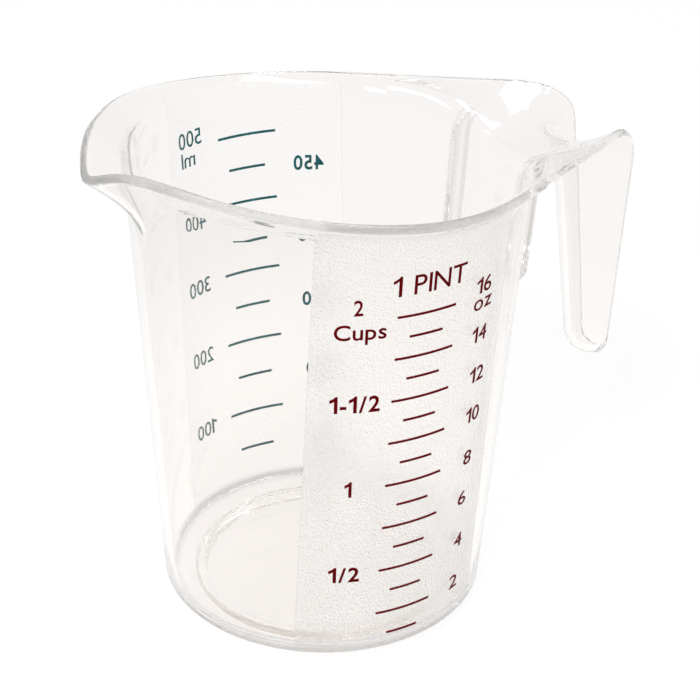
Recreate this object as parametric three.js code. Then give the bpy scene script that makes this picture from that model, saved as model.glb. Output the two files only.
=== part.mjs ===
// Clear measuring cup: a tapered vessel with a flared rim that runs out into a pouring spout on one side
// and into a hanging gutter-shaped handle on the other, with a printed scale on each flank.
// Millimetres. +Z is up, the handle points along +X, the spout along -X, and the origin is the centre of
// the underside.
import * as THREE from 'three';

const degree = Math.PI / 180;

// Volumes that the scales mark, in cubic millimetres
const fluidOunce = 29573.53;
const ounceCount = 16;
const metricStep = 50000;
const metricCount = 10;

// Vessel
const baseRadius = 39.4;
const wallTaper = 0.06;
const wallThickness = 2;
const floorThickness = 1.6;
const floorFillet = 2;
const shoulderRounding = 0.9;

// Foot: the middle of the floor is stepped down and carries the cup
const footRadius = 31.5;
const footHeight = 2.8;
const footRounding = 0.6;
const wellFillet = 2.2;

// Rim, with angles measured round the cup from the handle
const headroom = 12.5;
const rimFlare = 2.2;
const flareSlope = 42 * degree;
const flareBlend = 1;
const lipCrown = 0.5;

// Spout
const spoutRise = 7.7;
const riseStart = 66 * degree;
const riseEnd = 175 * degree;
const spoutLean = 3.6;
const leanStart = 95 * degree;
const leanEnd = 178 * degree;
const spoutReach = 5.65;
const spoutSpread = 30 * degree;
const spoutRounding = 3 * degree;
const spoutSlope = 37 * degree;
const spoutBlend = 7;
const spoutDip = 4.6;
const spoutDipSpread = 16 * degree;

// Handle: distances along X are outward from the rim's radius, and drops are below the handle's edge
const tongueTangent = 60.5 * degree;
const tongueStart = 45 * degree;
const tongueLength = 14.25;
const tongueFall = 0.5;
const tongueSlope = 20 * degree;
const tongueBlend = 30 * degree;
const tongueSink = 0.8;
const tongueRounding = 5.5;
const channelWidth = 30;
const troughLead = 1.75;
const troughDrop = 8.4;
const troughSlope = 10.5 * degree;
const troughLength = 7.4;
const bendOverhang = 25.15;
const strapTopReach = 26.35;
const strapTopDrop = 9.5;
const strapTopWidth = 27.2;
const strapBottomReach = 29.25;
const strapBottomDrop = 62.2;
const strapBottomWidth = 14.4;
const webBendReach = 16.55;
const webTopReach = 17.75;
const webTopDrop = 17.9;
const webBottomReach = 23.35;
const tipLength = 7.9;
const tongueTurn = 10 * degree;
const strapTurn = 76 * degree;

// Swelling of the wall under the handle
const swellDepth = 3.4;
const swellSpread = 20.5 * degree;
const swellSideWall = 2.5;
const swellFade = 1 * degree;
const swellLength = 37.3;
const swellRounding = 5;

// Print
const ounceStroke = 0.5;
const metricStroke = 0.6;
const inkThickness = 0.2;
const inkClearance = 0.05;
const ounceLongLine = 14.2;
const ounceShortLine = 8;
const metricLongLine = 15.8;
const metricShortLine = 9.9;
const ouncePrintDrop = 2;
const ouncePrintShift = 0.65;

// Fineness of the surfaces
const handleStrips = 20;
const rimStrips = 56;
const swellRows = 4;
const flareRows = 5;
const tongueRows = 4;
const bendRows = 6;
const strapRows = 6;
const tipRows = 5;
const crownRows = 3;
const filletRows = 3;
const lineSegments = 8;

// Even shares from 0 to 1, in a whole number of steps
function shares(count) {
  const whole = Math.round(count);
  return Array.from({ length: whole + 1 }, (_, step) => step / whole);
}

function curvePoints(curve, count) {
  return shares(count).map((share) => curve.getPoint(share));
}

function wallRadius(height) {
  return baseRadius + wallTaper * (height - footHeight);
}

// The ledge round the stepped-down middle of the floor, and the well inside the foot
const ledgeHeight = footHeight + floorThickness;
const ledgeRadius = wallRadius(ledgeHeight) - wallThickness;
const wellRadius = footRadius - wallThickness;

// Volume held below a level: the well and a cone's frustum, less the fillets
function volumeBelow(level) {
  const levelRadius = wallRadius(level) - wallThickness;
  const squares = ledgeRadius ** 2 + ledgeRadius * levelRadius + levelRadius ** 2;
  const frustum = Math.PI * (level - ledgeHeight) * squares / 3;
  const well = Math.PI * wellRadius ** 2 * footHeight;
  const floorCorner = 2 * Math.PI * (ledgeRadius - floorFillet / 4) * floorFillet ** 2 / 6;
  const wellCorner = 2 * Math.PI * (wellRadius - wellFillet / 4) * wellFillet ** 2 / 6;
  return frustum + well - floorCorner - wellCorner;
}

// Height of the surface of a poured volume, found by halving the range
function levelOf(volume) {
  let low = ledgeHeight;
  let high = ledgeHeight + 2 * volume / (Math.PI * ledgeRadius ** 2);
  for (let step = 0; step < 50; step += 1) {
    const middle = (low + high) / 2;
    if (volumeBelow(middle) < volume) {
      low = middle;
    } else {
      high = middle;
    }
  }
  return (low + high) / 2;
}

// Heights of the printed lines: the ounce scale is printed a little below the true levels
function ounceLevel(count) {
  return levelOf(count * fluidOunce) - ouncePrintDrop;
}

function metricLevel(count) {
  return levelOf(count * metricStep);
}

const rimHeight = Math.max(ounceLevel(ounceCount), metricLevel(metricCount)) + headroom;
const rimRadius = wallRadius(rimHeight) + rimFlare;

function steps(value, low, high) {
  return THREE.MathUtils.smoothstep(value, low, high);
}

// How strongly the spout shapes the rim at an angle: one at its rounded tip, falling off as a square
function spoutShare(angle, spread) {
  const away = Math.hypot(Math.PI - Math.abs(angle), spoutRounding) - spoutRounding;
  return Math.max(0, 1 - away / spread) ** 2;
}

// How strongly the handle's tongue shapes the rim at an angle: one where it starts
function tongueShare(angle) {
  return 1 - steps(Math.abs(angle), tongueStart, tongueStart + tongueBlend);
}

// Outer corner of the lip. Near the handle the rim leaves its circle along straight tangents and its
// outer corner sinks, and towards the spout it rises, leans out and finally dips at the tip
function lipOutside(angle) {
  const turn = Math.abs(angle);
  const dip = spoutDip * spoutShare(angle, spoutDipSpread) + tongueSink * tongueShare(angle);
  const height = rimHeight + spoutRise * steps(turn, riseStart, riseEnd) - dip;
  const round = wallRadius(height) + rimFlare + spoutLean * steps(turn, leanStart, leanEnd);
  const straight = 1 / Math.cos(Math.max(0, tongueTangent - turn));
  const reach = round * straight + spoutReach * spoutShare(angle, spoutSpread);
  return new THREE.Vector3(reach * Math.cos(angle), reach * Math.sin(angle), height);
}

function lipSlope(angle) {
  const plain = THREE.MathUtils.lerp(flareSlope, tongueSlope, tongueShare(angle));
  return THREE.MathUtils.lerp(plain, spoutSlope, spoutShare(angle, spoutSpread));
}

function lipBlend(angle) {
  const plain = THREE.MathUtils.lerp(flareBlend, tongueRounding, tongueShare(angle));
  return THREE.MathUtils.lerp(plain, spoutBlend, spoutShare(angle, spoutSpread));
}

// Direction across the lip, from its inner to its outer corner
function lipAcross(angle) {
  const before = lipOutside(angle - 0.5 * degree);
  const after = lipOutside(angle + 0.5 * degree);
  const slope = lipSlope(angle);
  const across = new THREE.Vector3(after.y - before.y, before.x - after.x, 0);
  across.setLength(Math.sin(slope));
  across.z = -Math.cos(slope);
  return across;
}

function lipInside(angle) {
  return lipOutside(angle).addScaledVector(lipAcross(angle), -wallThickness);
}

// The handle's edge and the middle of its trough, each a straight run, a bend and a straight run.
// The edge starts on the rim's tangent and keeps its direction up to the bend
const edgeStart = lipInside(tongueStart);
const edgeHeight = edgeStart.z;
const tongueEnd = rimRadius + tongueLength;
const narrowing = (tongueEnd - edgeStart.x) / Math.tan(tongueTangent);
const tongueCorner = new THREE.Vector3(tongueEnd, edgeStart.y - narrowing, edgeHeight - tongueFall);
const strapTopEdge = new THREE.Vector3(
  rimRadius + strapTopReach, strapTopWidth / 2 - wallThickness, edgeHeight - strapTopDrop);
const strapBottomEdge = new THREE.Vector3(
  rimRadius + strapBottomReach, strapBottomWidth / 2 - wallThickness, edgeHeight - strapBottomDrop);
const bendEdge = new THREE.Vector3(rimRadius + bendOverhang, strapTopEdge.y, edgeHeight - 2 * tongueFall);

const troughStart = new THREE.Vector3(rimRadius + troughLead, 0, edgeHeight - troughDrop);
const troughRun = new THREE.Vector3(Math.cos(troughSlope), 0, Math.sin(troughSlope));
const troughEnd = troughStart.clone().addScaledVector(troughRun, troughLength / Math.cos(troughSlope));
const bendRun = (rimRadius + webBendReach - troughEnd.x) / Math.cos(troughSlope);
const bendWeb = troughEnd.clone().addScaledVector(troughRun, bendRun);
const strapTopWeb = new THREE.Vector3(rimRadius + webTopReach, 0, edgeHeight - webTopDrop);
const strapBottomWeb = new THREE.Vector3(rimRadius + webBottomReach, 0, strapBottomEdge.z);

const edgeRuns = [
  new THREE.LineCurve3(edgeStart, tongueCorner),
  new THREE.QuadraticBezierCurve3(tongueCorner, bendEdge, strapTopEdge),
  new THREE.LineCurve3(strapTopEdge, strapBottomEdge),
];
const webRuns = [
  new THREE.LineCurve3(troughStart, troughEnd),
  new THREE.QuadraticBezierCurve3(troughEnd, bendWeb, strapTopWeb),
  new THREE.LineCurve3(strapTopWeb, strapBottomWeb),
];

// Edge and web at a station: the whole part of the station picks the run. In the fourth run, the tip,
// both close on one point like the end of a canoe
function stationPoints(station) {
  const run = Math.min(Math.floor(station), 3);
  if (run < 3) {
    return { edge: edgeRuns[run].getPoint(station - run), web: webRuns[run].getPoint(station - run) };
  }
  const turn = (station - run) * Math.PI / 2;
  const height = strapBottomEdge.z - (tipLength - wallThickness) * Math.sin(turn);
  const inset = (strapBottomEdge.x - strapBottomWeb.x) * Math.cos(turn);
  return {
    edge: new THREE.Vector3(strapBottomEdge.x, strapBottomEdge.y * Math.cos(turn), height),
    web: new THREE.Vector3(strapBottomEdge.x - inset, 0, height),
  };
}

// Hollow side of the handle, side running from -1 to 1 between its edges. On the tongue it is a flat
// flange with a channel along its middle, and down the strap an arc from edge to edge through the web
function gutterInside(side, station) {
  const { edge, web } = stationPoints(station);
  const strapShare = steps(station, 0, 2);
  const fullTurn = THREE.MathUtils.lerp(tongueTurn, strapTurn, strapShare);
  const turn = side * fullTurn;
  const arc = (1 - Math.cos(turn)) / (1 - Math.cos(fullTurn));
  const flange = (2 * edge.y / channelWidth) ** 4;
  const channel = side ** 4 * (1 + flange) / (1 + side ** 4 * flange);
  const rise = THREE.MathUtils.lerp(channel, arc, strapShare);
  return new THREE.Vector3(
    THREE.MathUtils.lerp(web.x, edge.x, arc),
    edge.y * Math.sin(turn) / Math.sin(fullTurn),
    THREE.MathUtils.lerp(web.z, edge.z, rise));
}

// Outer side of the handle: one wall thickness away along the surface's normal
function gutterOutside(side, station) {
  const nudge = 0.001;
  const onward = Math.min(station, 4 - 2 * nudge);
  const centre = gutterInside(side, onward);
  const along = gutterInside(side, onward + nudge).sub(centre);
  const inward = side > 0 ? -nudge : nudge;
  const across = gutterInside(side + inward, onward).sub(centre).multiplyScalar(Math.sign(inward));
  const normal = across.cross(along).normalize();
  return gutterInside(side, station).addScaledVector(normal, wallThickness);
}

// Radius of the wall, inset from its outside, with the extra where it swells out to meet the handle
const swellFoot = rimHeight - swellLength;

function sideRadius(height, azimuth, inset) {
  const radius = wallRadius(height) - inset;
  const spread = swellSpread - (inset > 0 ? swellSideWall / radius : 0);
  const upward = steps(height, swellFoot, swellFoot + swellRounding);
  const sideways = 1 - steps(Math.abs(azimuth), spread - swellFade, spread + swellFade);
  return radius + swellDepth * upward * sideways;
}

function plane(radius, height) {
  return new THREE.Vector2(radius, height);
}

// A corner between two straight runs, rounded off
function roundedCorner(from, corner, to) {
  return curvePoints(new THREE.QuadraticBezierCurve(from, corner, to), filletRows);
}

// Profile of the inside from the well over the ledge to the foot of the wall
function insideFoot() {
  const top = ledgeHeight + floorFillet;
  return [
    ...roundedCorner(
      plane(wellRadius - wellFillet, floorThickness),
      plane(wellRadius, floorThickness),
      plane(wellRadius, floorThickness + wellFillet)),
    plane(wellRadius, ledgeHeight),
    ...roundedCorner(
      plane(ledgeRadius - floorFillet, ledgeHeight),
      plane(ledgeRadius, ledgeHeight),
      plane(wallRadius(top) - wallThickness, top)),
  ];
}

// Profile of the underside from the foot over the shoulder to the wall
function outsideFoot() {
  const top = footHeight + shoulderRounding;
  return [
    ...roundedCorner(
      plane(footRadius - footRounding, 0),
      plane(footRadius, 0),
      plane(footRadius, footRounding)),
    plane(footRadius, footHeight),
    ...roundedCorner(
      plane(baseRadius - shoulderRounding, footHeight),
      plane(baseRadius, footHeight),
      plane(wallRadius(top), top)),
  ];
}

// One line up the vessel: along the foot, up the straight wall, then a curve out to a point of the lip
function vesselLine({ point, slope, blend }, foot, inset) {
  const azimuth = Math.atan2(point.y, point.x);
  const reach = Math.hypot(point.x, point.y);
  const gap = reach - sideRadius(point.z, azimuth, inset);
  const rise = gap * Math.tan(slope) / (1 - wallTaper * Math.tan(slope));
  const bendHeight = point.z - rise;
  const wallTop = bendHeight - blend;
  const profile = [...foot];
  shares(swellRows).forEach((share) => {
    const height = swellFoot + swellRounding * share;
    profile.push(plane(sideRadius(height, azimuth, inset), height));
  });
  profile.push(plane(sideRadius(wallTop, azimuth, inset), wallTop));
  const flare = new THREE.QuadraticBezierCurve(
    profile[profile.length - 1],
    plane(sideRadius(bendHeight, azimuth, inset), bendHeight),
    plane(reach, point.z));
  profile.push(...curvePoints(flare, flareRows).slice(1));
  return profile.map((place) => new THREE.Vector3(
    place.x * Math.cos(azimuth), place.x * Math.sin(azimuth), place.y));
}

// Places across the handle, from one edge to the other
const handleSides = shares(handleStrips).map((share) => 2 * share - 1);

// Ends of the lines round the cup: across the handle first, then round the rim past the spout, where
// they stand closer together
function lipEnds(gutter, lip) {
  const handleEnds = handleSides.map((side) => {
    const slope = THREE.MathUtils.lerp(troughSlope, tongueSlope, side ** 4);
    return { point: gutter(side, 0), slope, blend: tongueRounding };
  });
  const rimEnds = shares(rimStrips).slice(1, -1).map((share) => {
    const along = 2 * share - 1;
    const fromSpout = (Math.PI - tongueStart) * (along + along * Math.abs(along)) / 2;
    const angle = fromSpout < 0 ? Math.PI + fromSpout : fromSpout - Math.PI;
    return { point: lip(angle), slope: lipSlope(angle), blend: lipBlend(angle) };
  });
  return [...handleEnds, ...rimEnds];
}

function gutterRows(gutter) {
  const stations = [tongueRows, bendRows, strapRows, tipRows].flatMap(
    (count, run) => shares(count).slice(1).map((share) => run + share));
  return stations.slice(0, -1).map((station) => handleSides.map((side) => gutter(side, station)));
}

const skin = { points: [], triangles: [] };

function addPoint(point) {
  skin.points.push(point.x, point.y, point.z);
  return skin.points.length / 3 - 1;
}

function addTriangle(first, second, third, flipped) {
  skin.triangles.push(first, flipped ? third : second, flipped ? second : third);
}

function addQuad(first, second, third, fourth, flipped) {
  addTriangle(first, second, third, flipped);
  addTriangle(first, third, fourth, flipped);
}

// One side of the cup's skin, from the floor's centre over the wall and the handle.
// Gives back the point numbers along its free edge: round the rim, down one edge of the handle and up
// the other
function addSide(centre, lines, rows, tip, flipped) {
  const pole = addPoint(centre);
  const columns = lines.map((line) => line.map((point) => addPoint(point)));
  const last = columns[0].length - 1;
  columns.forEach((column, index) => {
    const next = columns[(index + 1) % columns.length];
    addTriangle(pole, column[0], next[0], flipped);
    for (let row = 0; row < last; row += 1) {
      addQuad(column[row], column[row + 1], next[row + 1], next[row], flipped);
    }
  });
  const rim = columns.map((column) => column[last]);
  const across = handleSides.length - 1;
  const strips = [rim.slice(0, across + 1), ...rows.map((row) => row.map((point) => addPoint(point)))];
  for (let row = 0; row + 1 < strips.length; row += 1) {
    for (let strip = 0; strip < across; strip += 1) {
      addQuad(strips[row][strip], strips[row + 1][strip],
        strips[row + 1][strip + 1], strips[row][strip + 1], flipped);
    }
  }
  const end = addPoint(tip);
  const lowest = strips[strips.length - 1];
  for (let strip = 0; strip < across; strip += 1) {
    addTriangle(lowest[strip], end, lowest[strip + 1], flipped);
  }
  const down = strips.slice(1).map((row) => row[0]);
  const up = strips.slice(1).map((row) => row[across]).reverse();
  return [...rim.slice(across), rim[0], ...down, end, ...up];
}

function pointAt(index) {
  return new THREE.Vector3().fromArray(skin.points, 3 * index);
}

// Slightly crowned edge that joins the free edges of the two sides
function addEdge(inner, outer) {
  const count = inner.length;
  const loops = [inner];
  shares(crownRows).slice(1, -1).forEach((share) => {
    const turn = share * Math.PI;
    loops.push(inner.map((index, place) => {
      const from = pointAt(index);
      const to = pointAt(outer[place]);
      const onward = pointAt(inner[(place + 1) % count]).sub(pointAt(inner[(place + count - 1) % count]));
      const outward = to.clone().sub(from).cross(onward).setLength(lipCrown * Math.sin(turn));
      return addPoint(from.lerp(to, (1 - Math.cos(turn)) / 2).add(outward));
    }));
  });
  loops.push(outer);
  for (let row = 0; row + 1 < loops.length; row += 1) {
    for (let place = 0; place < count; place += 1) {
      const next = (place + 1) % count;
      addQuad(loops[row][place], loops[row + 1][place], loops[row + 1][next], loops[row][next], false);
    }
  }
}

const insideLines = lipEnds(gutterInside, lipInside).map((end) => vesselLine(end, insideFoot(), wallThickness));
const outsideLines = lipEnds(gutterOutside, lipOutside).map((end) => vesselLine(end, outsideFoot(), 0));
const innerEdge = addSide(
  new THREE.Vector3(0, 0, floorThickness), insideLines, gutterRows(gutterInside), gutterInside(0, 4), false);
const outerEdge = addSide(
  new THREE.Vector3(0, 0, 0), outsideLines, gutterRows(gutterOutside), gutterOutside(0, 4), true);
addEdge(innerEdge, outerEdge);

const bodyGeometry = new THREE.BufferGeometry();
bodyGeometry.setAttribute('position', new THREE.Float32BufferAttribute(skin.points, 3));
bodyGeometry.setIndex(skin.triangles);
bodyGeometry.computeVertexNormals();

const clearPlastic = { color: 0xdfe7ea, roughness: 0.08, transparent: true, opacity: 0.35 };
const redInk = { color: 0xa01820, roughness: 0.45 };
const tealInk = { color: 0x0f5560, roughness: 0.45 };

const measuringCup = new THREE.Group();
measuringCup.name = 'measuring_cup';

function addPiece(name, geometry, look) {
  const piece = new THREE.Mesh(geometry, new THREE.MeshStandardMaterial(look));
  piece.name = name;
  measuringCup.add(piece);
}

// A printed line: a thin curved bar on the wall, centred on an angle
function addLine(name, level, middle, length, stroke, look) {
  const inner = wallRadius(level + stroke / 2) + inkClearance;
  const outer = inner + inkThickness;
  const half = length / inner / 2;
  const band = new THREE.Shape();
  band.absarc(0, 0, outer, middle - half, middle + half, false);
  band.absarc(0, 0, inner, middle + half, middle - half, true);
  band.closePath();
  const geometry = new THREE.ExtrudeGeometry(
    band, { depth: stroke, bevelEnabled: false, curveSegments: Math.round(lineSegments) });
  geometry.translate(0, 0, level - stroke / 2);
  addPiece(name, geometry, look);
}

addPiece('cup_body', bodyGeometry, clearPlastic);

for (let ounce = 1; ounce <= ounceCount; ounce += 1) {
  const length = ounce % 2 === 0 ? ounceLongLine : ounceShortLine;
  const name = `ounce_line_${String(ounce).padStart(2, '0')}`;
  const level = ounceLevel(ounce);
  const middle = ouncePrintShift / wallRadius(level) - Math.PI / 2;
  addLine(name, level, middle, length, ounceStroke, redInk);
}

for (let count = 1; count <= metricCount; count += 1) {
  const length = count % 2 === 0 ? metricLongLine : metricShortLine;
  const name = `millilitre_line_${String(count * metricStep / 1000).padStart(3, '0')}`;
  addLine(name, metricLevel(count), Math.PI / 2, length, metricStroke, tealInk);
}

export default measuringCup;
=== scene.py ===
import bmesh
import bpy
import numpy as np
from mathutils import Matrix


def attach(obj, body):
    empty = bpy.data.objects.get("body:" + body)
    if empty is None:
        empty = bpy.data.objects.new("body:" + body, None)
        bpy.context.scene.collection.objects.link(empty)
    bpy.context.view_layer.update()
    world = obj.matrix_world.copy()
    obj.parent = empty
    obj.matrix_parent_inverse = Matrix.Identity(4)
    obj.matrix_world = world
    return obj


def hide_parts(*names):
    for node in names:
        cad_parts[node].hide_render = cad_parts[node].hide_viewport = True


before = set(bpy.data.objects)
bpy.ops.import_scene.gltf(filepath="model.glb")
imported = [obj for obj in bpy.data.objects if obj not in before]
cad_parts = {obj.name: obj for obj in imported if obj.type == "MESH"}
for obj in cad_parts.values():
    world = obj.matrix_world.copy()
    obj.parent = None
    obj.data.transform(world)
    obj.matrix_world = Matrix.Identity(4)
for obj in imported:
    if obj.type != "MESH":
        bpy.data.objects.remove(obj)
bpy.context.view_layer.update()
scene = bpy.context.scene
millimetre = 0.001

# Vessel, rim, spout and handle in millimetres, with angles in degrees
vessel = {
    "baseRadius": 39.4, "wallTaper": 0.06, "wall": 2.0, "floor": 1.6, "fillet": 2.0, "shoulder": 0.9,
    "footRadius": 31.5, "footHeight": 2.8, "footRounding": 0.6, "wellFillet": 2.2, "cornerEase": 0.5,
    "swellDepth": 3.4, "swellSpread": 20.5, "swellSideWall": 2.5, "swellFade": 1.0,
    "swellLength": 37.3, "swellRounding": 5.0,
}
rim = {
    "headroom": 12.5, "flare": 2.2, "slope": 42.0, "blend": 1.0, "crown": 0.5,
    "rise": 7.7, "riseStart": 66.0, "riseEnd": 175.0, "lean": 3.6, "leanStart": 95.0, "leanEnd": 178.0,
    "spoutReach": 5.65, "spoutSpread": 30.0, "spoutRounding": 3.0, "spoutSlope": 37.0, "spoutBlend": 7.0,
    "spoutDip": 4.6, "spoutDipSpread": 16.0,
}
handle = {
    "tangent": 60.5, "start": 45.0, "length": 14.25, "fall": 0.5,
    "tongueSlope": 20.0, "tongueBlend": 30.0, "tongueSink": 0.8, "tongueRounding": 5.5,
    "channelWidth": 30.0,
    "troughLead": 1.75, "troughDrop": 8.4, "troughSlope": 10.5, "troughLength": 7.4,
    "bendOverhang": 25.15, "topReach": 26.35, "topDrop": 9.5, "topWidth": 27.2,
    "bottomReach": 29.25, "bottomDrop": 62.2, "bottomWidth": 14.4,
    "webBendReach": 16.55, "webTopReach": 17.75, "webTopDrop": 17.9, "webBottomReach": 23.35,
    "tipLength": 7.9, "tongueTurn": 10.0, "strapTurn": 76.0,
}
# Printed scales: volumes in cubic millimetres, the ounce scale printed a little low
ounceScale = {"step": 29573.53, "count": 16, "drop": 2.0, "middle": -90.0}
metricScale = {"step": 50000.0, "count": 10, "drop": 0.0, "middle": 90.0}


def smoothRise(value, low, high):
    share = np.clip((value - low) / (high - low), 0, 1)
    return share * share * (3 - 2 * share)


def between(first, second, share):
    return first + (second - first) * share


def bezier(first, middle, last, share):
    return first * (1 - share) ** 2 + middle * 2 * share * (1 - share) + last * share ** 2


def wallRadius(height):
    return vessel["baseRadius"] + vessel["wallTaper"] * (height - vessel["footHeight"])


ledgeHeight = vessel["footHeight"] + vessel["floor"]
ledgeRadius = wallRadius(ledgeHeight) - vessel["wall"]
wellRadius = vessel["footRadius"] - vessel["wall"]


# What a fillet round a floor takes away from the volume
def filletVolume(radius, fillet):
    return 2 * np.pi * (radius - fillet / 4) * fillet ** 2 / 6


# Volume below a level: the stepped-down well and a cone's frustum, less the two fillets
def volumeBelow(level):
    high = wallRadius(level) - vessel["wall"]
    squares = ledgeRadius ** 2 + ledgeRadius * high + high ** 2
    well = np.pi * wellRadius ** 2 * vessel["footHeight"]
    lost = filletVolume(ledgeRadius, vessel["fillet"]) + filletVolume(wellRadius, vessel["wellFillet"])
    return np.pi * (level - ledgeHeight) * squares / 3 + well - lost


def scaleLevels(scale):
    heights = np.linspace(ledgeHeight, 160, 4000)
    volumes = scale["step"] * np.arange(1, scale["count"] + 1)
    return np.interp(volumes, volumeBelow(heights), heights) - scale["drop"]


ounceLevels = scaleLevels(ounceScale)
metricLevels = scaleLevels(metricScale)
rimHeight = max(ounceLevels[-1], metricLevels[-1]) + rim["headroom"]
rimRadius = wallRadius(rimHeight) + rim["flare"]
swellFoot = rimHeight - vessel["swellLength"]


# The spout's strength at an angle is one at its rounded tip and falls off as a square
def spoutShare(angle, spread):
    rounding = np.radians(rim["spoutRounding"])
    away = np.hypot(np.pi - np.abs(angle), rounding) - rounding
    return np.clip(1 - away / np.radians(spread), 0, None) ** 2


# The tongue's strength at an angle is one where the handle starts
def tongueShare(angle):
    start = np.radians(handle["start"])
    return 1 - smoothRise(np.abs(angle), start, start + np.radians(handle["tongueBlend"]))


# The lip's outer corner: a circle that rises and leans out towards the spout and dips at its tip,
# and that leaves the circle along straight tangents and sinks towards the handle
def lipOutside(angle):
    turn = np.abs(angle)
    climb = smoothRise(turn, np.radians(rim["riseStart"]), np.radians(rim["riseEnd"]))
    lean = smoothRise(turn, np.radians(rim["leanStart"]), np.radians(rim["leanEnd"]))
    dip = rim["spoutDip"] * spoutShare(angle, rim["spoutDipSpread"])
    sink = handle["tongueSink"] * tongueShare(angle)
    height = rimHeight + rim["rise"] * climb - dip - sink
    circle = wallRadius(height) + rim["flare"] + rim["lean"] * lean
    straight = 1 / np.cos(np.clip(np.radians(handle["tangent"]) - turn, 0, None))
    reach = circle * straight + rim["spoutReach"] * spoutShare(angle, rim["spoutSpread"])
    return np.stack([reach * np.cos(angle), reach * np.sin(angle), height], axis=-1)


def lipSlope(angle):
    plain = between(rim["slope"], handle["tongueSlope"], tongueShare(angle))
    return np.radians(between(plain, rim["spoutSlope"], spoutShare(angle, rim["spoutSpread"])))


def lipBlend(angle):
    plain = between(rim["blend"], handle["tongueRounding"], tongueShare(angle))
    return between(plain, rim["spoutBlend"], spoutShare(angle, rim["spoutSpread"]))


# The inner corner lies one wall away, square to the lip in plan and tilted by its slope
def lipInside(angle):
    run = lipOutside(angle + 0.008) - lipOutside(angle - 0.008)
    across = np.stack([run[..., 1], -run[..., 0]], axis=-1)
    across /= np.linalg.norm(across, axis=-1, keepdims=True)
    slope = lipSlope(angle)
    level = across * np.sin(slope)[..., None]
    tilt = np.stack([level[..., 0], level[..., 1], -np.cos(slope)], axis=-1)
    return lipOutside(angle) - vessel["wall"] * tilt


edgeStart = lipInside(np.radians(handle["start"]))
edgeHeight = edgeStart[2]
tongueEnd = rimRadius + handle["length"]
narrowing = (tongueEnd - edgeStart[0]) / np.tan(np.radians(handle["tangent"]))
tongueCorner = np.array([tongueEnd, edgeStart[1] - narrowing, edgeHeight - handle["fall"]])
topEdge = np.array([
    rimRadius + handle["topReach"], handle["topWidth"] / 2 - vessel["wall"],
    edgeHeight - handle["topDrop"]])
bottomEdge = np.array([
    rimRadius + handle["bottomReach"], handle["bottomWidth"] / 2 - vessel["wall"],
    edgeHeight - handle["bottomDrop"]])
bendEdge = np.array([rimRadius + handle["bendOverhang"], topEdge[1], edgeHeight - 2 * handle["fall"]])
troughRise = np.tan(np.radians(handle["troughSlope"]))
troughStart = np.array([rimRadius + handle["troughLead"], 0, edgeHeight - handle["troughDrop"]])
troughEnd = troughStart + handle["troughLength"] * np.array([1, 0, troughRise])
bendWeb = troughEnd + (rimRadius + handle["webBendReach"] - troughEnd[0]) * np.array([1, 0, troughRise])
topWeb = np.array([rimRadius + handle["webTopReach"], 0, edgeHeight - handle["webTopDrop"]])
bottomWeb = np.array([rimRadius + handle["webBottomReach"], 0, bottomEdge[2]])


# Edge and web of the handle at a station: a straight run, a bend, a straight run and a closing tip
def handleLines(station):
    first, second, third, fourth = [np.clip(station - run, 0, 1)[..., None] for run in range(4)]
    turn = fourth * np.pi / 2
    drop = (handle["tipLength"] - vessel["wall"]) * np.sin(turn) * np.array([0, 0, 1])
    closing = np.concatenate([np.ones_like(turn), np.cos(turn), np.ones_like(turn)], axis=-1)
    tipEdge = bottomEdge * closing - drop
    inset = (bottomEdge[0] - bottomWeb[0]) * (1 - np.cos(turn)) * np.array([1, 0, 0])
    tipWeb = bottomWeb + inset - drop
    which = [station[..., None] < 1, station[..., None] < 2, station[..., None] < 3]
    edge = np.select(which, [
        between(edgeStart, tongueCorner, first),
        bezier(tongueCorner, bendEdge, topEdge, second),
        between(topEdge, bottomEdge, third)], tipEdge)
    web = np.select(which, [
        between(troughStart, troughEnd, first),
        bezier(troughEnd, bendWeb, topWeb, second),
        between(topWeb, bottomWeb, third)], tipWeb)
    return edge, web


# Hollow side of the handle: on the tongue a flat flange with a channel along its middle, and down the
# strap an arc across from edge to edge through the web
def gutterInside(side, station):
    edge, web = handleLines(station)
    strapShare = smoothRise(station, 0, 2)
    full = np.radians(between(handle["tongueTurn"], handle["strapTurn"], strapShare))
    turn = side * full
    arc = (1 - np.cos(turn)) / (1 - np.cos(full))
    flange = (2 * edge[..., 1] / handle["channelWidth"]) ** 4
    channel = side ** 4 * (1 + flange) / (1 + side ** 4 * flange)
    rise = between(channel, arc, strapShare)
    return np.stack([
        between(web[..., 0], edge[..., 0], arc),
        edge[..., 1] * np.sin(turn) / np.sin(full),
        between(web[..., 2], edge[..., 2], rise)], axis=-1)


# Outer side of the handle: one wall away along the normal, from differences on both parameters
def gutterOutside(side, station):
    nudge = 0.001
    onward = np.minimum(station, 4 - 2 * nudge)
    centre = gutterInside(side, onward)
    along = gutterInside(side, onward + nudge) - centre
    inward = np.where(side > 0, -nudge, nudge)
    across = (gutterInside(side + inward, onward) - centre) * np.sign(inward)[..., None]
    normal = np.cross(across, along)
    normal /= np.linalg.norm(normal, axis=-1, keepdims=True)
    return gutterInside(side, station) + vessel["wall"] * normal


# How far the wall under the handle has swollen at a height and azimuth, as upward and sideways shares
def swellShares(height, azimuth, inset):
    radius = wallRadius(height) - inset
    sideWall = vessel["swellSideWall"] / radius if inset > 0 else 0 * radius
    spread = np.radians(vessel["swellSpread"]) - sideWall
    fade = np.radians(vessel["swellFade"])
    upward = smoothRise(height, swellFoot, swellFoot + vessel["swellRounding"])
    return upward, 1 - smoothRise(np.abs(azimuth), spread - fade, spread + fade)


# Radius of the wall at a height and azimuth, with the swelling under the handle
def sideRadius(height, azimuth, inset):
    upward, sideways = swellShares(height, azimuth, inset)
    return wallRadius(height) - inset + vessel["swellDepth"] * upward * sideways


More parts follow.
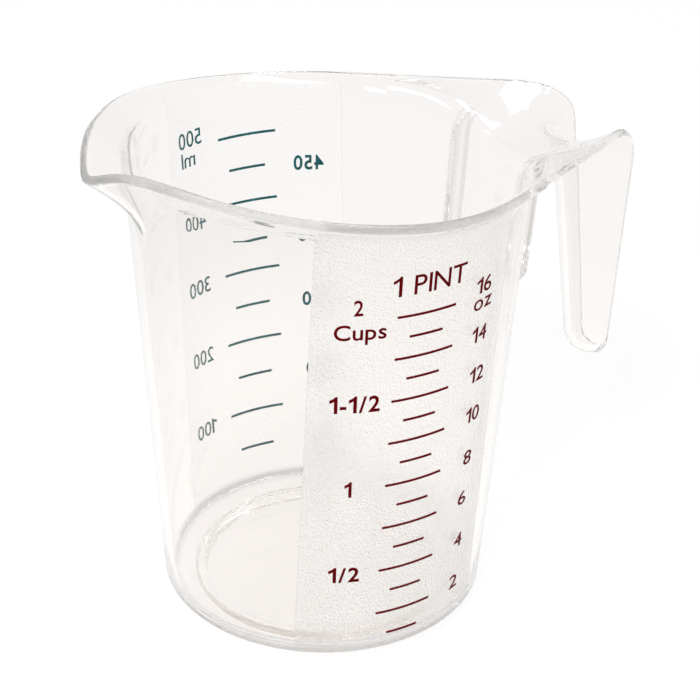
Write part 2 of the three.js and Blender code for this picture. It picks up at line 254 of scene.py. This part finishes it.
# A corner between two straight runs, rounded off
def roundedCorner(first, corner, last):
    share = np.linspace(0, 1, 8)[:, None]
    return bezier(np.array(first), np.array(corner), np.array(last), share)


def flatRun(first, last, height, count):
    radius = np.linspace(first, last, count)
    return np.stack([radius, 0 * radius + height], axis=1)


# The inside's profile: well floor, well wall, eased edge of the ledge, fillet up to the wall
def insideFoot():
    floor, ease, fillet = vessel["floor"], vessel["cornerEase"], vessel["wellFillet"]
    top = ledgeHeight + vessel["fillet"]
    return np.concatenate([
        flatRun(4, wellRadius - fillet, floor, 5)[:-1],
        roundedCorner((wellRadius - fillet, floor), (wellRadius, floor), (wellRadius, floor + fillet)),
        roundedCorner(
            (wellRadius, ledgeHeight - ease), (wellRadius, ledgeHeight), (wellRadius + ease, ledgeHeight)),
        flatRun(wellRadius + ease, ledgeRadius - vessel["fillet"], ledgeHeight, 4)[1:-1],
        roundedCorner(
            (ledgeRadius - vessel["fillet"], ledgeHeight), (ledgeRadius, ledgeHeight),
            (wallRadius(top) - vessel["wall"], top))])


# The underside's profile: foot, its side, eased corner under the ledge, rounded shoulder
def outsideFoot():
    foot, high, ease = vessel["footRadius"], vessel["footHeight"], vessel["cornerEase"]
    rounding, shoulder, base = vessel["footRounding"], vessel["shoulder"], vessel["baseRadius"]
    top = high + shoulder
    return np.concatenate([
        flatRun(4, foot - rounding, 0, 5)[:-1],
        roundedCorner((foot - rounding, 0), (foot, 0), (foot, rounding)),
        roundedCorner((foot, high - ease), (foot, high), (foot + ease, high)),
        flatRun(foot + ease, base - shoulder, high, 4)[1:-1],
        roundedCorner((base - shoulder, high), (base, high), (wallRadius(top), top))])


# Lines up the vessel: along the foot, up the straight wall, then a curve out to each point of the lip
def vesselSheet(ends, slope, blend, foot, inset):
    azimuth = np.arctan2(ends[:, 1], ends[:, 0])[:, None]
    reach = np.hypot(ends[:, 0], ends[:, 1])[:, None]
    lipHeight = ends[:, 2][:, None]
    steep = np.tan(slope)[:, None]
    gap = reach - sideRadius(lipHeight, azimuth, inset)
    bendHeight = lipHeight - gap * steep / (1 - vessel["wallTaper"] * steep)
    wallTop = bendHeight - blend[:, None]
    swellTop = swellFoot + vessel["swellRounding"]
    count = len(ends)
    lower = np.linspace(foot[-1, 1], swellFoot, 12)[1:]
    swell = np.linspace(swellFoot, swellTop, 13)[1:]
    fixed = np.repeat(np.concatenate([lower, swell])[None], count, axis=0)
    upper = between(swellTop, wallTop, np.linspace(0, 1, 9)[None, 1:])
    heights = np.concatenate([fixed, upper], axis=1)
    radii = sideRadius(heights, azimuth, inset)
    share = np.linspace(0, 1, 17)[None, 1:]
    flareRadius = bezier(radii[:, -1:], sideRadius(bendHeight, azimuth, inset), reach, share)
    flareHeight = bezier(wallTop, bendHeight, lipHeight, share)
    radius = np.concatenate([np.repeat(foot[None, :, 0], count, axis=0), radii, flareRadius], axis=1)
    height = np.concatenate([np.repeat(foot[None, :, 1], count, axis=0), heights, flareHeight], axis=1)
    return np.stack([radius * np.cos(azimuth), radius * np.sin(azimuth), height], axis=-1)


# Rows and columns of the cup's skin
handleColumns = 200
rimColumns = 216
stationRows = np.concatenate([
    np.linspace(0, 1, 15)[1:], np.linspace(1, 2, 25)[1:],
    np.linspace(2, 3, 21)[1:], np.linspace(3, 4, 17)[1:-1]])
crownRows = 8
sides = np.linspace(-1, 1, handleColumns + 1)
along = np.linspace(-1, 1, rimColumns + 1)[1:-1]
fromSpout = (np.pi - np.radians(handle["start"])) * (along + along * np.abs(along)) / 2
rimAngles = np.where(fromSpout < 0, np.pi + fromSpout, fromSpout - np.pi)


def cupSide(gutter, lip, foot, inset):
    slope = np.concatenate([
        np.radians(between(handle["troughSlope"], handle["tongueSlope"], sides ** 4)), lipSlope(rimAngles)])
    blend = np.concatenate([0 * sides + handle["tongueRounding"], lipBlend(rimAngles)])
    ends = np.concatenate([gutter(sides, 0 * sides), lip(rimAngles)])
    lines = vesselSheet(ends, slope, blend, foot, inset)
    side, station = np.meshgrid(sides, stationRows)
    return lines, gutter(side, station), gutter(np.array([0.0]), np.array([4.0]))


# One side's points in order: pole, vessel lines, handle rows, tip; with faces and the free edge's numbers
def sideMesh(lines, rows, tip, pole, start, flipped):
    count, high = lines.shape[:2]
    points = np.concatenate([pole[None], lines.reshape(-1, 3), rows.reshape(-1, 3), tip])
    ring = start + 1 + np.arange(count)[:, None] * high + np.arange(high)[None]
    onward = np.roll(ring, -1, axis=0)
    quads = [np.stack([ring[:, :-1], ring[:, 1:], onward[:, 1:], onward[:, :-1]], axis=-1).reshape(-1, 4)]
    triangles = [np.stack([0 * ring[:, 0] + start, ring[:, 0], onward[:, 0]], axis=-1)]
    lower = start + 1 + count * high + np.arange(rows.shape[0] * rows.shape[1]).reshape(rows.shape[:2])
    strips = np.concatenate([ring[None, :rows.shape[1], -1], lower])
    quads.append(np.stack([
        strips[:-1, :-1], strips[1:, :-1], strips[1:, 1:], strips[:-1, 1:]], axis=-1).reshape(-1, 4))
    end = start + len(points) - 1
    triangles.append(np.stack([strips[-1, :-1], 0 * strips[-1, 1:] + end, strips[-1, 1:]], axis=-1))
    quads = np.concatenate(quads)
    triangles = np.concatenate(triangles)
    if flipped:
        quads = quads[:, ::-1]
        triangles = triangles[:, ::-1]
    free = np.concatenate([
        ring[handleColumns:, -1], ring[:1, -1], strips[1:, 0], [end], strips[:0:-1, -1]])
    return points, quads, triangles, free


def makeMesh(name, points, faces):
    mesh = bpy.data.meshes.new(name)
    mesh.from_pydata((points * millimetre).tolist(), [], faces)
    mesh.shade_smooth()
    mesh.update()
    piece = bpy.data.objects.new(name, mesh)
    scene.collection.objects.link(piece)
    return piece


# The free edges of both sides are joined by a crown: half an ellipse from inner to outer corner
def cupBody():
    inner = cupSide(gutterInside, lipInside, insideFoot(), vessel["wall"])
    outer = cupSide(gutterOutside, lipOutside, outsideFoot(), 0)
    innerPoints, innerQuads, innerTriangles, innerFree = sideMesh(
        *inner, np.array([0, 0, vessel["floor"]]), 0, False)
    start = len(innerPoints)
    outerPoints, outerQuads, outerTriangles, outerFree = sideMesh(*outer, np.zeros(3), start, True)
    points = np.concatenate([innerPoints, outerPoints])
    near = points[innerFree]
    far = points[outerFree]
    onward = np.roll(near, -1, axis=0) - np.roll(near, 1, axis=0)
    outward = np.cross(far - near, onward)
    outward *= rim["crown"] / np.linalg.norm(outward, axis=1, keepdims=True)
    turn = np.linspace(0, np.pi, crownRows + 1)[1:-1, None, None]
    crown = between(near, far, (1 - np.cos(turn)) / 2) + outward * np.sin(turn)
    first = len(points)
    middle = first + np.arange(crown.shape[0] * crown.shape[1]).reshape(crown.shape[:2])
    loops = np.concatenate([innerFree[None], middle, outerFree[None]])
    following = np.roll(loops, -1, axis=1)
    crownQuads = np.stack([loops[:-1], loops[1:], following[1:], following[:-1]], axis=-1).reshape(-1, 4)
    points = np.concatenate([points, crown.reshape(-1, 3)])
    faces = []
    for block in (innerQuads, outerQuads, crownQuads, innerTriangles, outerTriangles):
        faces += block.tolist()
    piece = makeMesh("clearCup", points, faces)
    # How far each point of the outer wall lies below the lip, and minus one elsewhere
    drop = np.full(len(points), -1.0)
    lines = outer[0]
    lipGap = lines[:, -1:, 2] - lines[:, :, 2]
    drop[start + 1:start + 1 + lipGap.size] = lipGap.reshape(-1)
    # One on the crown, nothing elsewhere
    edge = np.zeros(len(points))
    edge[first:] = 1
    # Weight of the painted shade: strongest at both edges of the swelling's side walls, nothing in between
    # and elsewhere
    foldShade = np.zeros(len(points))
    for begin, sheet, inset in ((0, inner[0], vessel["wall"]), (start, lines, 0)):
        azimuth = np.arctan2(sheet[:, :, 1], sheet[:, :, 0])
        upward, sideways = swellShares(sheet[:, :, 2], azimuth, inset)
        inStep = (sideways > 0.001) & (sideways < 0.999)
        foldShadeWeight = upward * np.abs(1 - 2 * sideways) * inStep
        foldShade[begin + 1:begin + 1 + foldShadeWeight.size] = foldShadeWeight.reshape(-1)
    for name, values in (("lipDrop", drop), ("lipEdge", edge), ("foldShade", foldShade)):
        layer = piece.data.attributes.new(name, "FLOAT", "POINT")
        layer.data.foreach_set("value", values.astype(np.float32))
    return piece


cup = cupBody()
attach(cup, "root")
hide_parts("cup_body")
print("cup body", len(cup.data.polygons), "faces")


def addNode(tree, kind, **settings):
    node = tree.nodes.new(kind)
    for key, value in settings.items():
        setattr(node, key, value)
    return node


def math(tree, operation, first, second=None):
    node = addNode(tree, "ShaderNodeMath", operation=operation)
    for place, value in enumerate((first, second)):
        if value is None:
            continue
        if isinstance(value, (int, float)):
            node.inputs[place].default_value = value
        else:
            tree.links.new(value, node.inputs[place])
    return node.outputs[0]


# A smooth step from one value to another
def mapRange(tree, value, source, result):
    node = addNode(tree, "ShaderNodeMapRange", interpolation_type="SMOOTHSTEP")
    for socket, number in zip(("From Min", "From Max", "To Min", "To Max"), source + result):
        node.inputs[socket].default_value = number
    tree.links.new(value, node.inputs["Value"])
    return node.outputs[0]


def newMaterial(name):
    material = bpy.data.materials.new(name)
    material.use_nodes = True
    tree = material.node_tree
    return material, tree, tree.nodes["Principled BSDF"]


# Frosted panels on both flanks: a strip of even width from the shoulder to just below the lip, with an
# embossed grain lit by painted light and shade. Also the dulled crown, and painted shade on the shoulder's
# corner, the panels' sides and the swelling's folds
# The corner, edge and fold values set painted shade on the shoulder's corner, the panels' sides and the
# swelling's folds; contrast and relief set the painted light and shade of the grain
frost = {
    "halfWidth": 0.0235, "top": 1.2, "foot": 0.0039, "roughness": 0.24, "clearRoughness": 0.02,
    "lipRoughness": 0.18, "corner": 0.5, "edge": 0.00013, "edgeShadeTone": -0.12, "foldShadeTone": -0.24,
    "grainScale": 2100, "reliefLight": 0.00015, "contrast": 1.3,
}


# Noise at a place moved along by a step
def grainNoise(tree, place, step):
    moved = addNode(tree, "ShaderNodeVectorMath", operation="ADD")
    tree.links.new(place, moved.inputs[0])
    moved.inputs[1].default_value = (step, 0, step)
    grain = addNode(tree, "ShaderNodeTexNoise")
    grain.inputs["Scale"].default_value = frost["grainScale"]
    grain.inputs["Detail"].default_value = 2
    tree.links.new(moved.outputs[0], grain.inputs["Vector"])
    return grain.outputs["Fac"]


# The grain's tone is the difference of two shifted noises, painted light and shade so that it looks like a
# lit relief
def frostAndShadeGroup():
    tree = bpy.data.node_groups.new("frostedPanelAndShade", "ShaderNodeTree")
    for name in ("Mask", "Height", "Tone"):
        tree.interface.new_socket(name, in_out="OUTPUT", socket_type="NodeSocketFloat")
    place = addNode(tree, "ShaderNodeTexCoord").outputs["Object"]
    parts = addNode(tree, "ShaderNodeSeparateXYZ")
    tree.links.new(place, parts.inputs[0])
    lipDrop = addNode(tree, "ShaderNodeAttribute", attribute_name="lipDrop").outputs["Fac"]
    aside = math(tree, "ABSOLUTE", parts.outputs[0])
    within = math(tree, "LESS_THAN", aside, frost["halfWidth"])
    below = math(tree, "GREATER_THAN", lipDrop, frost["top"])
    above = math(tree, "GREATER_THAN", parts.outputs[2], frost["foot"])
    mask = math(tree, "MULTIPLY", math(tree, "MULTIPLY", within, below), above)
    grain = grainNoise(tree, place, 0.0)
    reliefLight = math(tree, "SUBTRACT", grain, grainNoise(tree, place, frost["reliefLight"]))
    # Fainter painted grain light on the metric flank, and painted shade: a darker tone low down
    contrast = (frost["contrast"], frost["contrast"] * 0.4)
    strength = mapRange(tree, parts.outputs[1], (-0.01, 0.01), contrast)
    level = mapRange(tree, parts.outputs[2], (0.01, 0.05), (-0.014, 0.055))
    shade = math(tree, "ADD", math(tree, "MULTIPLY", reliefLight, strength), level)
    # Painted shade: a thin darker line along both sides of a panel
    side = math(tree, "ABSOLUTE", math(tree, "SUBTRACT", aside, frost["halfWidth"]))
    line = math(tree, "MULTIPLY", math(tree, "LESS_THAN", side, frost["edge"]), frost["edgeShadeTone"])
    line = math(tree, "MULTIPLY", line, math(tree, "MULTIPLY", below, above))
    tone = math(tree, "ADD", math(tree, "MULTIPLY", shade, mask), math(tree, "ADD", line, 1.0))
    # Painted shade: the thick corner of the shoulder is darker
    beside = addNode(tree, "ShaderNodeVectorMath", operation="MULTIPLY")
    tree.links.new(place, beside.inputs[0])
    beside.inputs[1].default_value = (1, 1, 0)
    radius = addNode(tree, "ShaderNodeVectorMath", operation="LENGTH")
    tree.links.new(beside.outputs[0], radius.inputs[0])
    outward = mapRange(tree, radius.outputs["Value"], (0.035, 0.039), (0.0, 1.0))
    shoulderShadeHeight = mapRange(tree, parts.outputs[2], (0.0035, 0.0062), (1.0, 0.0))
    corner = math(tree, "MULTIPLY", math(tree, "MULTIPLY", outward, shoulderShadeHeight), frost["corner"] - 1)
    tone = math(tree, "MULTIPLY", tone, math(tree, "ADD", corner, 1.0))
    # Painted shade too on the edges of the swelling's side walls
    foldShade = addNode(tree, "ShaderNodeAttribute", attribute_name="foldShade").outputs["Fac"]
    tone = math(tree, "ADD", tone, math(tree, "MULTIPLY", foldShade, frost["foldShadeTone"]))
    output = addNode(tree, "NodeGroupOutput")
    tree.links.new(mask, output.inputs["Mask"])
    tree.links.new(math(tree, "MULTIPLY", grain, mask), output.inputs["Height"])
    tree.links.new(tone, output.inputs["Tone"])
    return tree


def clearPlastic():
    material, tree, shader = newMaterial("clearPlastic")
    shader.inputs["Transmission Weight"].default_value = 1
    shader.inputs["IOR"].default_value = 1.58
    shader.inputs["Specular Tint"].default_value = (0.25, 0.25, 0.25, 1)
    panel = addNode(tree, "ShaderNodeGroup", node_tree=frostAndShadeGroup())
    tinted = addNode(tree, "ShaderNodeVectorMath", operation="SCALE")
    tinted.inputs[0].default_value = (0.948, 0.928, 0.912)
    tree.links.new(panel.outputs["Tone"], tinted.inputs["Scale"])
    tree.links.new(tinted.outputs[0], shader.inputs["Base Color"])
    rough = addNode(tree, "ShaderNodeMapRange")
    rough.inputs["To Min"].default_value = frost["clearRoughness"]
    rough.inputs["To Max"].default_value = frost["roughness"]
    tree.links.new(panel.outputs["Mask"], rough.inputs["Value"])
    lipEdge = addNode(tree, "ShaderNodeAttribute", attribute_name="lipEdge").outputs["Fac"]
    dulled = math(tree, "MULTIPLY", lipEdge, frost["lipRoughness"])
    tree.links.new(math(tree, "ADD", rough.outputs[0], dulled), shader.inputs["Roughness"])
    bump = addNode(tree, "ShaderNodeBump")
    bump.inputs["Strength"].default_value = 0.2
    bump.inputs["Distance"].default_value = 0.0003
    tree.links.new(panel.outputs["Height"], bump.inputs["Height"])
    tree.links.new(bump.outputs[0], shader.inputs["Normal"])
    tint = addNode(tree, "ShaderNodeVolumeAbsorption")
    tint.inputs["Color"].default_value = (0.84, 0.87, 0.86, 1)
    tint.inputs["Density"].default_value = 1.2
    tree.links.new(tint.outputs[0], tree.nodes["Material Output"].inputs["Volume"])
    return material


cup.data.materials.append(clearPlastic())


# Screen-print ink: colour with a faint mottling that also roughens and lifts it
def inkGroup():
    tree = bpy.data.node_groups.new("printedInk", "ShaderNodeTree")
    tree.interface.new_socket("Ink", in_out="INPUT", socket_type="NodeSocketColor")
    tree.interface.new_socket("Color", in_out="OUTPUT", socket_type="NodeSocketColor")
    tree.interface.new_socket("Rough", in_out="OUTPUT", socket_type="NodeSocketFloat")
    tree.interface.new_socket("Height", in_out="OUTPUT", socket_type="NodeSocketFloat")
    entry = addNode(tree, "NodeGroupInput")
    place = addNode(tree, "ShaderNodeTexCoord").outputs["Object"]
    mottle = addNode(tree, "ShaderNodeTexNoise")
    mottle.inputs["Scale"].default_value = 900
    mottle.inputs["Detail"].default_value = 3
    tree.links.new(place, mottle.inputs["Vector"])
    shade = addNode(tree, "ShaderNodeMapRange")
    shade.inputs["From Min"].default_value = 0.3
    shade.inputs["From Max"].default_value = 0.7
    shade.inputs["To Min"].default_value = 0.85
    shade.inputs["To Max"].default_value = 1.2
    tree.links.new(mottle.outputs["Fac"], shade.inputs["Value"])
    tone = addNode(tree, "ShaderNodeVectorMath", operation="SCALE")
    tree.links.new(entry.outputs["Ink"], tone.inputs[0])
    tree.links.new(shade.outputs[0], tone.inputs["Scale"])
    rough = addNode(tree, "ShaderNodeMapRange")
    rough.inputs["To Min"].default_value = 0.38
    rough.inputs["To Max"].default_value = 0.55
    tree.links.new(mottle.outputs["Fac"], rough.inputs["Value"])
    output = addNode(tree, "NodeGroupOutput")
    tree.links.new(tone.outputs[0], output.inputs["Color"])
    tree.links.new(rough.outputs[0], output.inputs["Rough"])
    tree.links.new(mottle.outputs["Fac"], output.inputs["Height"])
    return tree


printedInk = inkGroup()


def inkMaterial(name, colour):
    material, tree, shader = newMaterial(name)
    ink = addNode(tree, "ShaderNodeGroup", node_tree=printedInk)
    ink.inputs["Ink"].default_value = colour
    shader.inputs["Specular IOR Level"].default_value = 0.05
    tree.links.new(ink.outputs["Color"], shader.inputs["Base Color"])
    tree.links.new(ink.outputs["Rough"], shader.inputs["Roughness"])
    bump = addNode(tree, "ShaderNodeBump")
    bump.inputs["Strength"].default_value = 0.3
    bump.inputs["Distance"].default_value = 0.00005
    tree.links.new(ink.outputs["Height"], bump.inputs["Height"])
    tree.links.new(bump.outputs[0], shader.inputs["Normal"])
    return material


redInk = inkMaterial("redInk", (0.22, 0.001, 0.004, 1))
tealInk = inkMaterial("tealInk", (0.0, 0.155, 0.175, 1))
for name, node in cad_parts.items():
    if name == "cup_body":
        continue
    node.data.materials.clear()
    node.data.materials.append(redInk if name.startswith("ounce") else tealInk)
print("inks")


# Outline of the figure one, in shares of its height
oneOutline = [
    (0.30, 0), (0.30, 0.716), (0.235, 0.716), (0.15, 0.63), (0, 0.56),
    (0, 0.46), (0.10, 0.50), (0.19, 0.56), (0.19, 0)]


# One letter as a flat mesh, a little fattened for bold ones
def letterMesh(letter, fatten):
    if letter == "1":
        curve = bpy.data.curves.new("letter", "CURVE")
        curve.dimensions = "2D"
        curve.fill_mode = "BOTH"
        line = curve.splines.new("POLY")
        line.points.add(len(oneOutline) - 1)
        for point, (across, high) in zip(line.points, oneOutline):
            point.co = (across, high, 0, 1)
        line.use_cyclic_u = True
    else:
        curve = bpy.data.curves.new("letter", "FONT")
        curve.body = letter
        curve.resolution_u = 4
    curve.extrude = 0.5
    curve.offset = fatten
    holder = bpy.data.objects.new("letter", curve)
    scene.collection.objects.link(holder)
    bpy.context.view_layer.update()
    flat = bpy.data.meshes.new_from_object(holder.evaluated_get(bpy.context.evaluated_depsgraph_get()))
    points = np.empty(len(flat.vertices) * 3)
    flat.vertices.foreach_get("co", points)
    faces = [list(polygon.vertices) for polygon in flat.polygons]
    bpy.data.objects.remove(holder)
    bpy.data.curves.remove(curve)
    bpy.data.meshes.remove(flat)
    return points.reshape(-1, 3), faces


# Letters side by side with even gaps, as points and faces
def joinLetters(words, fatten):
    points = []
    faces = []
    cursor = 0.0
    for letter in words:
        if letter == " ":
            cursor += 0.34
            continue
        shape, sheets = letterMesh(letter, fatten)
        offset = sum(len(block) for block in points)
        shape[:, 0] += cursor - shape[:, 0].min()
        cursor = shape[:, 0].max() + 0.09
        points.append(shape)
        faces += [[offset + index for index in sheet] for sheet in sheets]
    return np.concatenate(points), faces


capital = np.ptp(letterMesh("H", 0)[0][:, 1])
ink = {"thickness": 0.12, "gap": 0.06}


# A word laid on the wall: stretched from its left to its right arc and to its capital height, then cut
# into narrow strips so that it bends with the cone. Across becomes the angle round the wall, up the
# height, and depth the distance out from the wall
def wallWord(words, middle, left, right, baseline, height, fatten):
    points, faces = joinLetters(words, fatten)
    low = points[:, 0].min()
    points[:, 0] = left + (points[:, 0] - low) * (right - left) / (points[:, 0].max() - low)
    points[:, 1] *= height / capital
    points[:, 2] *= ink["thickness"]
    shape = bmesh.new()
    corners = [shape.verts.new(point) for point in points]
    for sheet in faces:
        shape.faces.new([corners[index] for index in sheet])
    for cut in np.arange(left + 0.4, right, 0.8):
        everything = shape.verts[:] + shape.edges[:] + shape.faces[:]
        bmesh.ops.bisect_plane(shape, geom=everything, plane_co=(cut, 0, 0), plane_no=(1, 0, 0))
    shape.verts.index_update()
    points = np.array([vertex.co for vertex in shape.verts])
    faces = [[vertex.index for vertex in face.verts] for face in shape.faces]
    shape.free()
    level = baseline + points[:, 1]
    radius = wallRadius(level) + ink["gap"] + ink["thickness"] / 2 + points[:, 2]
    angle = np.radians(middle) + points[:, 0] / wallRadius(baseline)
    return np.stack([radius * np.cos(angle), radius * np.sin(angle), level], axis=-1), faces


def printWords(name, middle, words, material):
    points = []
    faces = []
    for text, left, right, baseline, height, fatten in words:
        placed, sheets = wallWord(text, middle, left, right, baseline, height, fatten)
        offset = sum(len(block) for block in points)
        points.append(placed)
        faces += [[offset + index for index in sheet] for sheet in sheets]
    piece = makeMesh(name, np.concatenate(points), faces)
    piece.data.materials.append(material)
    piece.data.shade_flat()
    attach(piece, "root")
    return piece


# Words beside the ounce lines: text, arcs of both ends from the flank's middle, baseline height,
# capital height and fattening
ounceWords = [
    ("1 PINT", -7.8, 10.0, 98.8, 4.6, 0.0),
    ("16", 13.9, 18.8, 93.8, 3.8, 0.0),
    ("oz", 13.5, 19.5, 89.7, 3.9, 0.0),
    ("14", 14.0, 18.9, 81.3, 3.8, 0.0),
    ("12", 14.6, 19.5, 70.6, 3.8, 0.0),
    ("10", 14.7, 19.5, 59.9, 3.8, 0.0),
    ("8", 15.5, 18.2, 48.2, 3.7, 0.0),
    ("6", 15.0, 17.8, 36.9, 3.7, 0.0),
    ("4", 15.2, 18.1, 24.4, 3.7, 0.0),
    ("2", 15.0, 17.9, 12.0, 3.8, 0.0),
    ("2", -15.9, -13.9, 95.2, 3.6, 0.01),
    ("Cups", -19.8, -8.6, 89.3, 3.6, 0.01),
    ("1-1/2", -19.9, -9.0, 71.0, 3.9, 0.018),
    ("1", -15.6, -14.0, 48.5, 3.8, 0.018),
    ("1/2", -18.1, -11.0, 24.4, 3.9, 0.018),
]
# Hundreds stand towards the spout and fifties towards the handle; the topmost is raised over its unit
metricWords = [("ml", 15.4, 20.1, metricLevels[9] - 4.2, 3.8, 0.0)]
for step, level in enumerate(metricLevels, 1):
    value = str(50 * step)
    lift = 0.7 if step == 10 else -2.1
    aside = 0.375 * (9 - step)
    if step % 2 == 0:
        metricWords.append((value, 13.1, 20.8, level + lift, 4.0, 0.0))
    else:
        metricWords.append((value, -20.1 - aside, -12.4 - aside, level + lift, 3.6, 0.02))
printWords("ounceWords", ounceScale["middle"], ounceWords, redInk)
printWords("metricWords", metricScale["middle"], metricWords, tealInk)
print("words", [round(float(level), 1) for level in ounceLevels[1::2]])

# White floor under the cup
floorMesh = bpy.data.meshes.new("floor")
floorCorners = [(across, onward, -0.0003) for across, onward in ((-4, -4), (4, -4), (4, 4), (-4, 4))]
floorMesh.from_pydata(floorCorners, [], [(0, 1, 2, 3)])
floor = bpy.data.objects.new("floor", floorMesh)
scene.collection.objects.link(floor)

floorMaterial, floorTree, floorShader = newMaterial("whiteFloor")
floorShader.inputs["Base Color"].default_value = (0.25, 0.25, 0.25, 1)
floorShader.inputs["Roughness"].default_value = 0.9
floorShader.inputs["Specular IOR Level"].default_value = 0
floorShader.inputs["Emission Color"].default_value = (1, 1, 1, 1)
distance = addNode(floorTree, "ShaderNodeVectorMath", operation="LENGTH")
floorTree.links.new(addNode(floorTree, "ShaderNodeTexCoord").outputs["Object"], distance.inputs[0])
# Through the plastic the floor is a little dimmer right under the foot, a painted shadow, and again far
# off, painted shade
shadowUnderFoot = mapRange(floorTree, distance.outputs["Value"], (0.03, 0.05), (0.88, 0.95))
shadeFarOff = mapRange(floorTree, distance.outputs["Value"], (0.1, 0.22), (0.0, -0.1))
rays = addNode(floorTree, "ShaderNodeLightPath")
glow = math(floorTree, "MULTIPLY", rays.outputs["Is Glossy Ray"], 0.72)
through = math(floorTree, "ADD", shadowUnderFoot, shadeFarOff)
for ray, level in (("Is Transmission Ray", through), ("Is Camera Ray", 0.86)):
    glow = math(floorTree, "MAXIMUM", glow, math(floorTree, "MULTIPLY", rays.outputs[ray], level))
floorTree.links.new(glow, floorShader.inputs["Emission Strength"])
floorMesh.materials.append(floorMaterial)

# White backdrop all round, with a dimmer room overhead and for mirrored rays
world = bpy.data.worlds.new("white")
scene.world = world
world.use_nodes = True
worldTree = world.node_tree
worldTree.nodes["Background"].inputs["Color"].default_value = (1, 1, 1, 1)
direction = addNode(worldTree, "ShaderNodeSeparateXYZ")
worldTree.links.new(addNode(worldTree, "ShaderNodeTexCoord").outputs["Generated"], direction.inputs[0])
overhead = mapRange(worldTree, direction.outputs[2], (0.1, 0.7), (0.55, 0.4))
rays = addNode(worldTree, "ShaderNodeLightPath")
seen = math(worldTree, "MAXIMUM", rays.outputs["Is Camera Ray"], rays.outputs["Is Transmission Ray"])
backdrop = math(worldTree, "MULTIPLY", seen, overhead)
mirrored = math(worldTree, "MULTIPLY", rays.outputs["Is Glossy Ray"], 0.12)
backdrop = math(worldTree, "MAXIMUM", backdrop, mirrored)
strength = math(worldTree, "ADD", backdrop, 0.45)
worldTree.links.new(strength, worldTree.nodes["Background"].inputs["Strength"])
print("floor and backdrop")


def softbox(name, place, target, width, height, power):
    lamp = bpy.data.lights.new(name, "AREA")
    lamp.shape = "RECTANGLE"
    lamp.size = width
    lamp.size_y = height
    lamp.energy = power
    holder = bpy.data.objects.new(name, lamp)
    scene.collection.objects.link(holder)
    back = np.array(place) - np.array(target)
    back = back / np.linalg.norm(back)
    right = np.cross([0, 0, 1], back)
    right /= np.linalg.norm(right)
    up = np.cross(back, right)
    pose = Matrix.Identity(4)
    for row in range(3):
        pose[row] = (right[row], up[row], back[row], place[row])
    holder.matrix_world = pose
    return holder


softbox("keyBox", (-0.6, -0.5, 0.9), (0, 0, 0.06), 0.3, 0.3, 4)
# Boxes that only show as highlights: on the handle's root, where the wall bends over to it, and on the
# far lip
highlightBoxes = [
    ("topBox", (0.37, 0.03, 1.11), (0.06, 0.014, 0.11), 0.43, 0.2, 6.5),
    ("sideBox", (-0.53, 0.04, 1.11), (0.045, 0.02, 0.11), 0.2, 0.25, 3.8),
    ("frontBox", (0.2, -0.47, 1.1), (0, 0.03, 0.11), 0.86, 0.12, 7.8),
]
for box in highlightBoxes:
    lamp = softbox(*box)
    lamp.visible_diffuse = False
    lamp.visible_transmission = False
print("lamps")

# Camera: distance, elevation, azimuth and roll as seen in the photograph
view = {
    "distance": 423.87, "elevation": 0.508, "height": 62.39, "aside": 5.78, "roll": 0.0252,
    "turn": np.radians(118.4), "lens": 92.0,
}


def photoFrame(direction):
    across = np.sin(view["turn"])
    onward = -np.cos(view["turn"])
    x, y, z = direction
    return np.array([x * across + y * onward, -x * onward + y * across, z])


camera = bpy.data.objects.new("camera", bpy.data.cameras.new("camera"))
scene.collection.objects.link(camera)
scene.camera = camera
camera.data.lens = view["lens"]
camera.data.sensor_width = 36
camera.data.clip_start = 0.01
low, high = np.cos(view["elevation"]), np.sin(view["elevation"])
eye = np.array([view["aside"], -view["distance"] * low, view["height"] + view["distance"] * high])
right = np.array([1.0, 0, 0])
up = np.array([0, high, low])
rolledRight = np.cos(view["roll"]) * right + np.sin(view["roll"]) * up
rolledUp = -np.sin(view["roll"]) * right + np.cos(view["roll"]) * up
back = np.array([0, -low, high])
pose = Matrix.Identity(4)
columns = [photoFrame(rolledRight), photoFrame(rolledUp), photoFrame(back), photoFrame(eye) * millimetre]
for row in range(3):
    pose[row] = [float(column[row]) for column in columns]
camera.matrix_world = pose
print("camera")

scene.view_settings.view_transform = "Standard"
# Enough bounces for light to find its way out of the thick rim and foot
scene.cycles.max_bounces = 96
scene.cycles.transmission_bounces = 96
scene.cycles.glossy_bounces = 96
